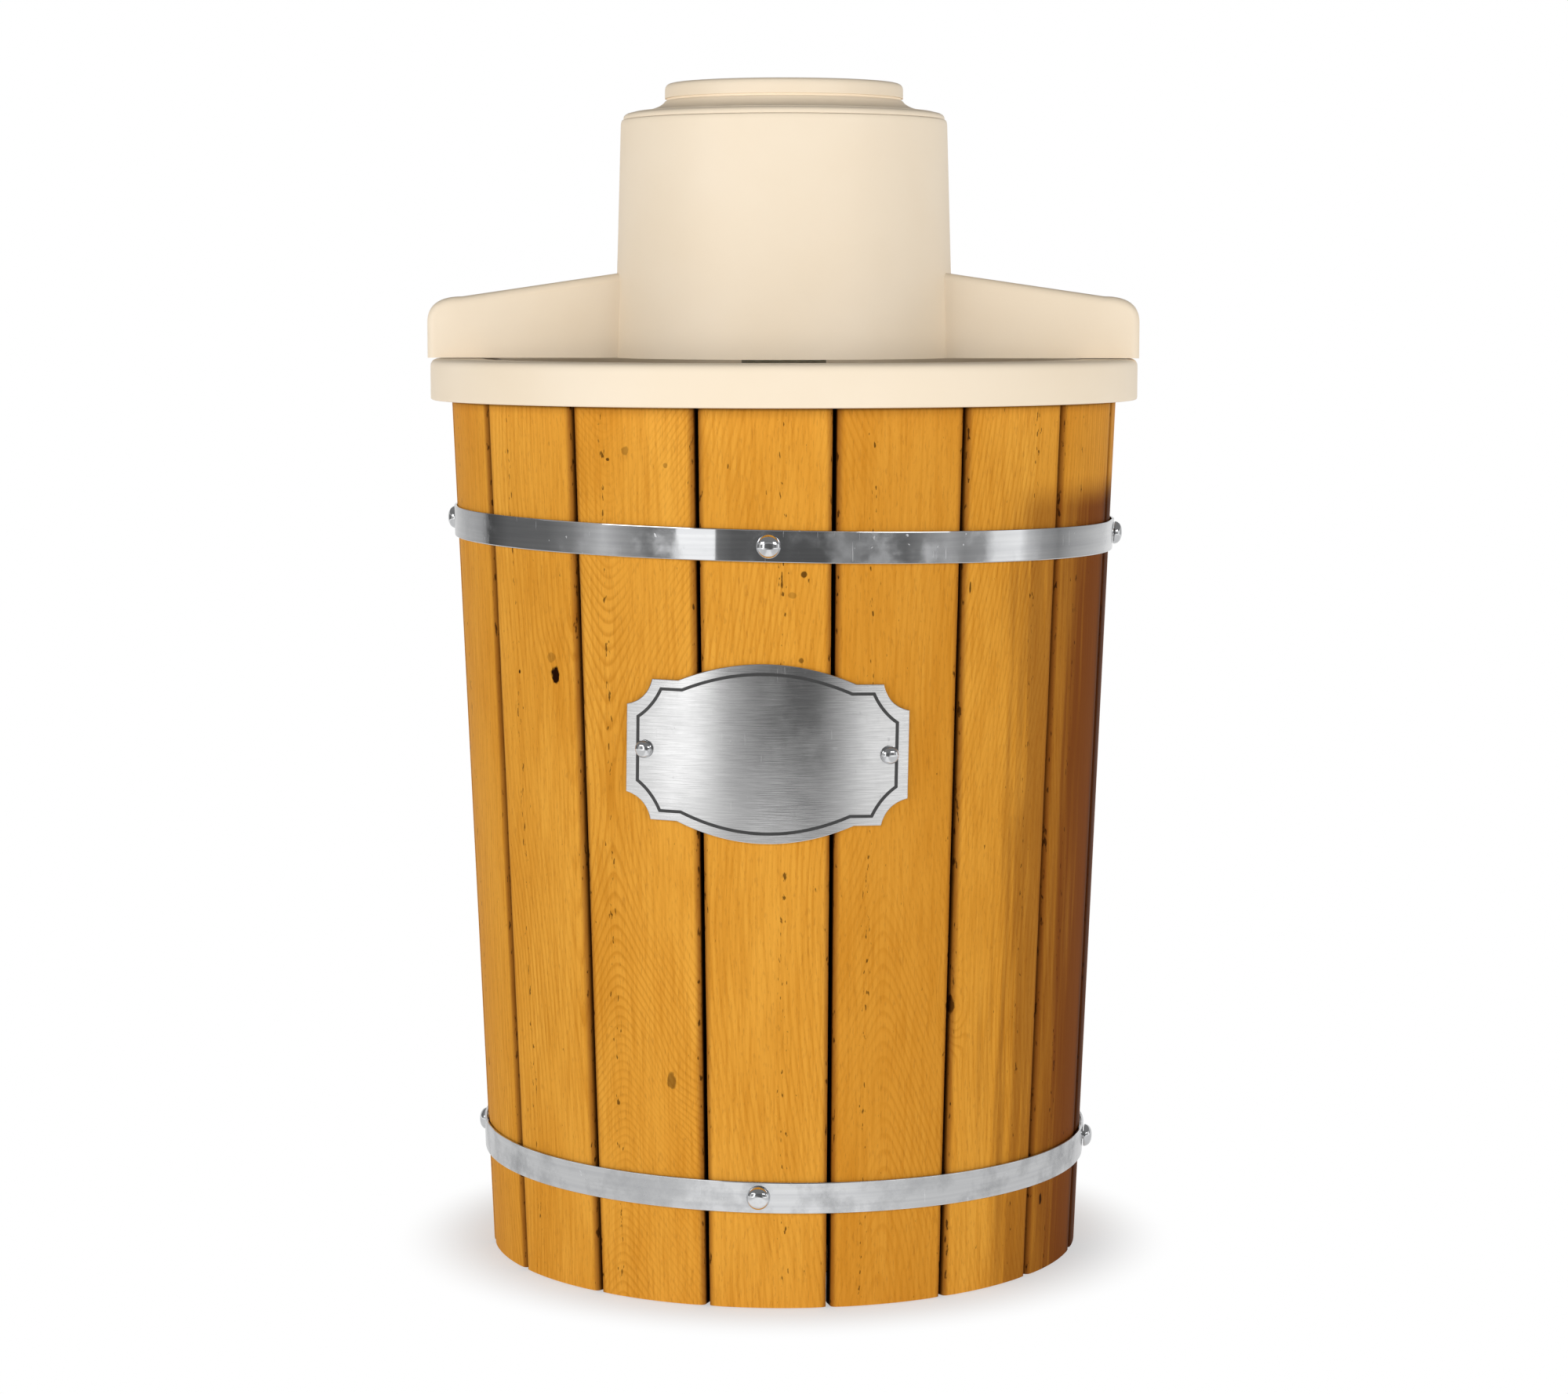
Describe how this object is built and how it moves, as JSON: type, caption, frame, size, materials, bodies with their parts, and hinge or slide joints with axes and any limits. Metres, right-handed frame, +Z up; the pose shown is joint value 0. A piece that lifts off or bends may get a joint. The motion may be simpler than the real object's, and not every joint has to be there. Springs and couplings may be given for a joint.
{
  "type": "ice cream freezer",
  "caption": "Wooden stave bucket with a plastic liner, spinning steel canister, dasher and a geared electric motor head across the rim.",
  "frame": {"origin": "centre of the bucket's base on the floor", "axes": "+Z up along the bucket's axis, -Y to the front with the label plate, X along the motor head's arms"},
  "size_m": [0.264, 0.264, 0.4359],
  "materials": {
    "stave_wood": "satin varnish",
    "board_wood": "bare",
    "scraper_wood": "bare",
    "hoop_steel": "polished",
    "label_steel": "brushed",
    "can_steel": "satin",
    "rivet_chrome": "polished",
    "cream_plastic": "satin",
    "lid_plastic": "clear gloss",
    "white_plastic": "satin",
    "gear_nylon": "satin",
    "black_plastic": "matt",
    "pinion_brass": "machined",
    "zinc_steel": "zinc plated"
  },
  "bodies": {
    "bucket": {"stave_01": "stave_wood", "stave_02": "stave_wood", "stave_03": "stave_wood", "stave_04": "stave_wood", "stave_05": "stave_wood", "stave_06": "stave_wood", "stave_07": "stave_wood", "stave_08": "stave_wood", "stave_09": "stave_wood", "stave_10": "stave_wood", "stave_11": "stave_wood", "stave_12": "stave_wood", "stave_13": "stave_wood", "stave_14": "stave_wood", "stave_15": "stave_wood", "stave_16": "stave_wood", "upper_hoop": "hoop_steel", "lower_hoop": "hoop_steel", "upper_hoop_rivet_1": "rivet_chrome", "upper_hoop_rivet_2": "rivet_chrome", "upper_hoop_rivet_3": "rivet_chrome", "upper_hoop_rivet_4": "rivet_chrome", "lower_hoop_rivet_1": "rivet_chrome", "lower_hoop_rivet_2": "rivet_chrome", "lower_hoop_rivet_3": "rivet_chrome", "lower_hoop_rivet_4": "rivet_chrome", "label_plate": "label_steel", "label_rivet_1": "rivet_chrome", "label_rivet_2": "rivet_chrome", "bottom_board": "board_wood", "liner": "cream_plastic", "drain_bush": "cream_plastic"},
    "dasher": {"dasher_frame": "white_plastic", "scraper_left": "scraper_wood", "scraper_right": "scraper_wood"},
    "canister": {"canister": "can_steel"},
    "lid": {"canister_lid": "lid_plastic"},
    "drive": {"drive_gear": "gear_nylon"},
    "motor_head": {"head_housing": "cream_plastic", "top_cover": "cream_plastic", "base_plate": "cream_plastic", "gearbox_plate": "white_plastic", "motor_plate": "zinc_steel", "motor_can": "zinc_steel", "first_gear_pin": "zinc_steel", "second_gear_pin": "zinc_steel", "locating_tab_left": "white_plastic", "locating_tab_right": "white_plastic", "cable_gland": "black_plastic", "base_screw_1": "zinc_steel", "base_screw_2": "zinc_steel", "base_screw_3": "zinc_steel", "base_screw_4": "zinc_steel", "motor_screw_1": "zinc_steel", "motor_screw_2": "zinc_steel"},
    "second_gear": {"second_gear": "gear_nylon"},
    "first_gear": {"first_gear": "gear_nylon"},
    "rotor": {"motor_rotor": "zinc_steel", "motor_pinion": "pinion_brass", "cooling_fan": "black_plastic"}
  },
  "joints": [
    {"name": "canister_lift", "type": "slide", "parent": "bucket", "child": "dasher", "axis": [0, 0, 1], "range_m": [0, 0.31]},
    {"name": "canister_spin", "type": "hinge", "parent": "dasher", "child": "canister", "pos_m": [0, 0, 0.17], "axis": [0, 0, 1], "continuous": true},
    {"name": "lid_lift", "type": "slide", "parent": "canister", "child": "lid", "axis": [0, 0, 1], "range_m": [0, 0.08]},
    {"name": "head_lift", "type": "slide", "parent": "lid", "child": "drive", "axis": [0, 0, 1], "range_m": [0, 0.12]},
    {"name": "drive_spin", "type": "hinge", "parent": "drive", "child": "motor_head", "pos_m": [0, 0, 0.34], "axis": [0, 0, 1], "continuous": true},
    {"name": "second_gear_spin", "type": "hinge", "parent": "motor_head", "child": "second_gear", "pos_m": [0.0375, 0, 0.345], "axis": [0, 0, 1], "continuous": true},
    {"name": "first_gear_spin", "type": "hinge", "parent": "motor_head", "child": "first_gear", "pos_m": [0.02156, 0.02086, 0.352], "axis": [0, 0, 1], "continuous": true},
    {"name": "rotor_spin", "type": "hinge", "parent": "motor_head", "child": "rotor", "pos_m": [0, 0, 0.38], "axis": [0, 0, 1], "continuous": true}
  ],
  "couplings": [
    {"joint": "drive_spin", "follows": "canister_spin", "ratio": -1},
    {"joint": "second_gear_spin", "follows": "canister_spin", "ratio": -4},
    {"joint": "first_gear_spin", "follows": "canister_spin", "ratio": 10},
    {"joint": "rotor_spin", "follows": "canister_spin", "ratio": -30}
  ]
}
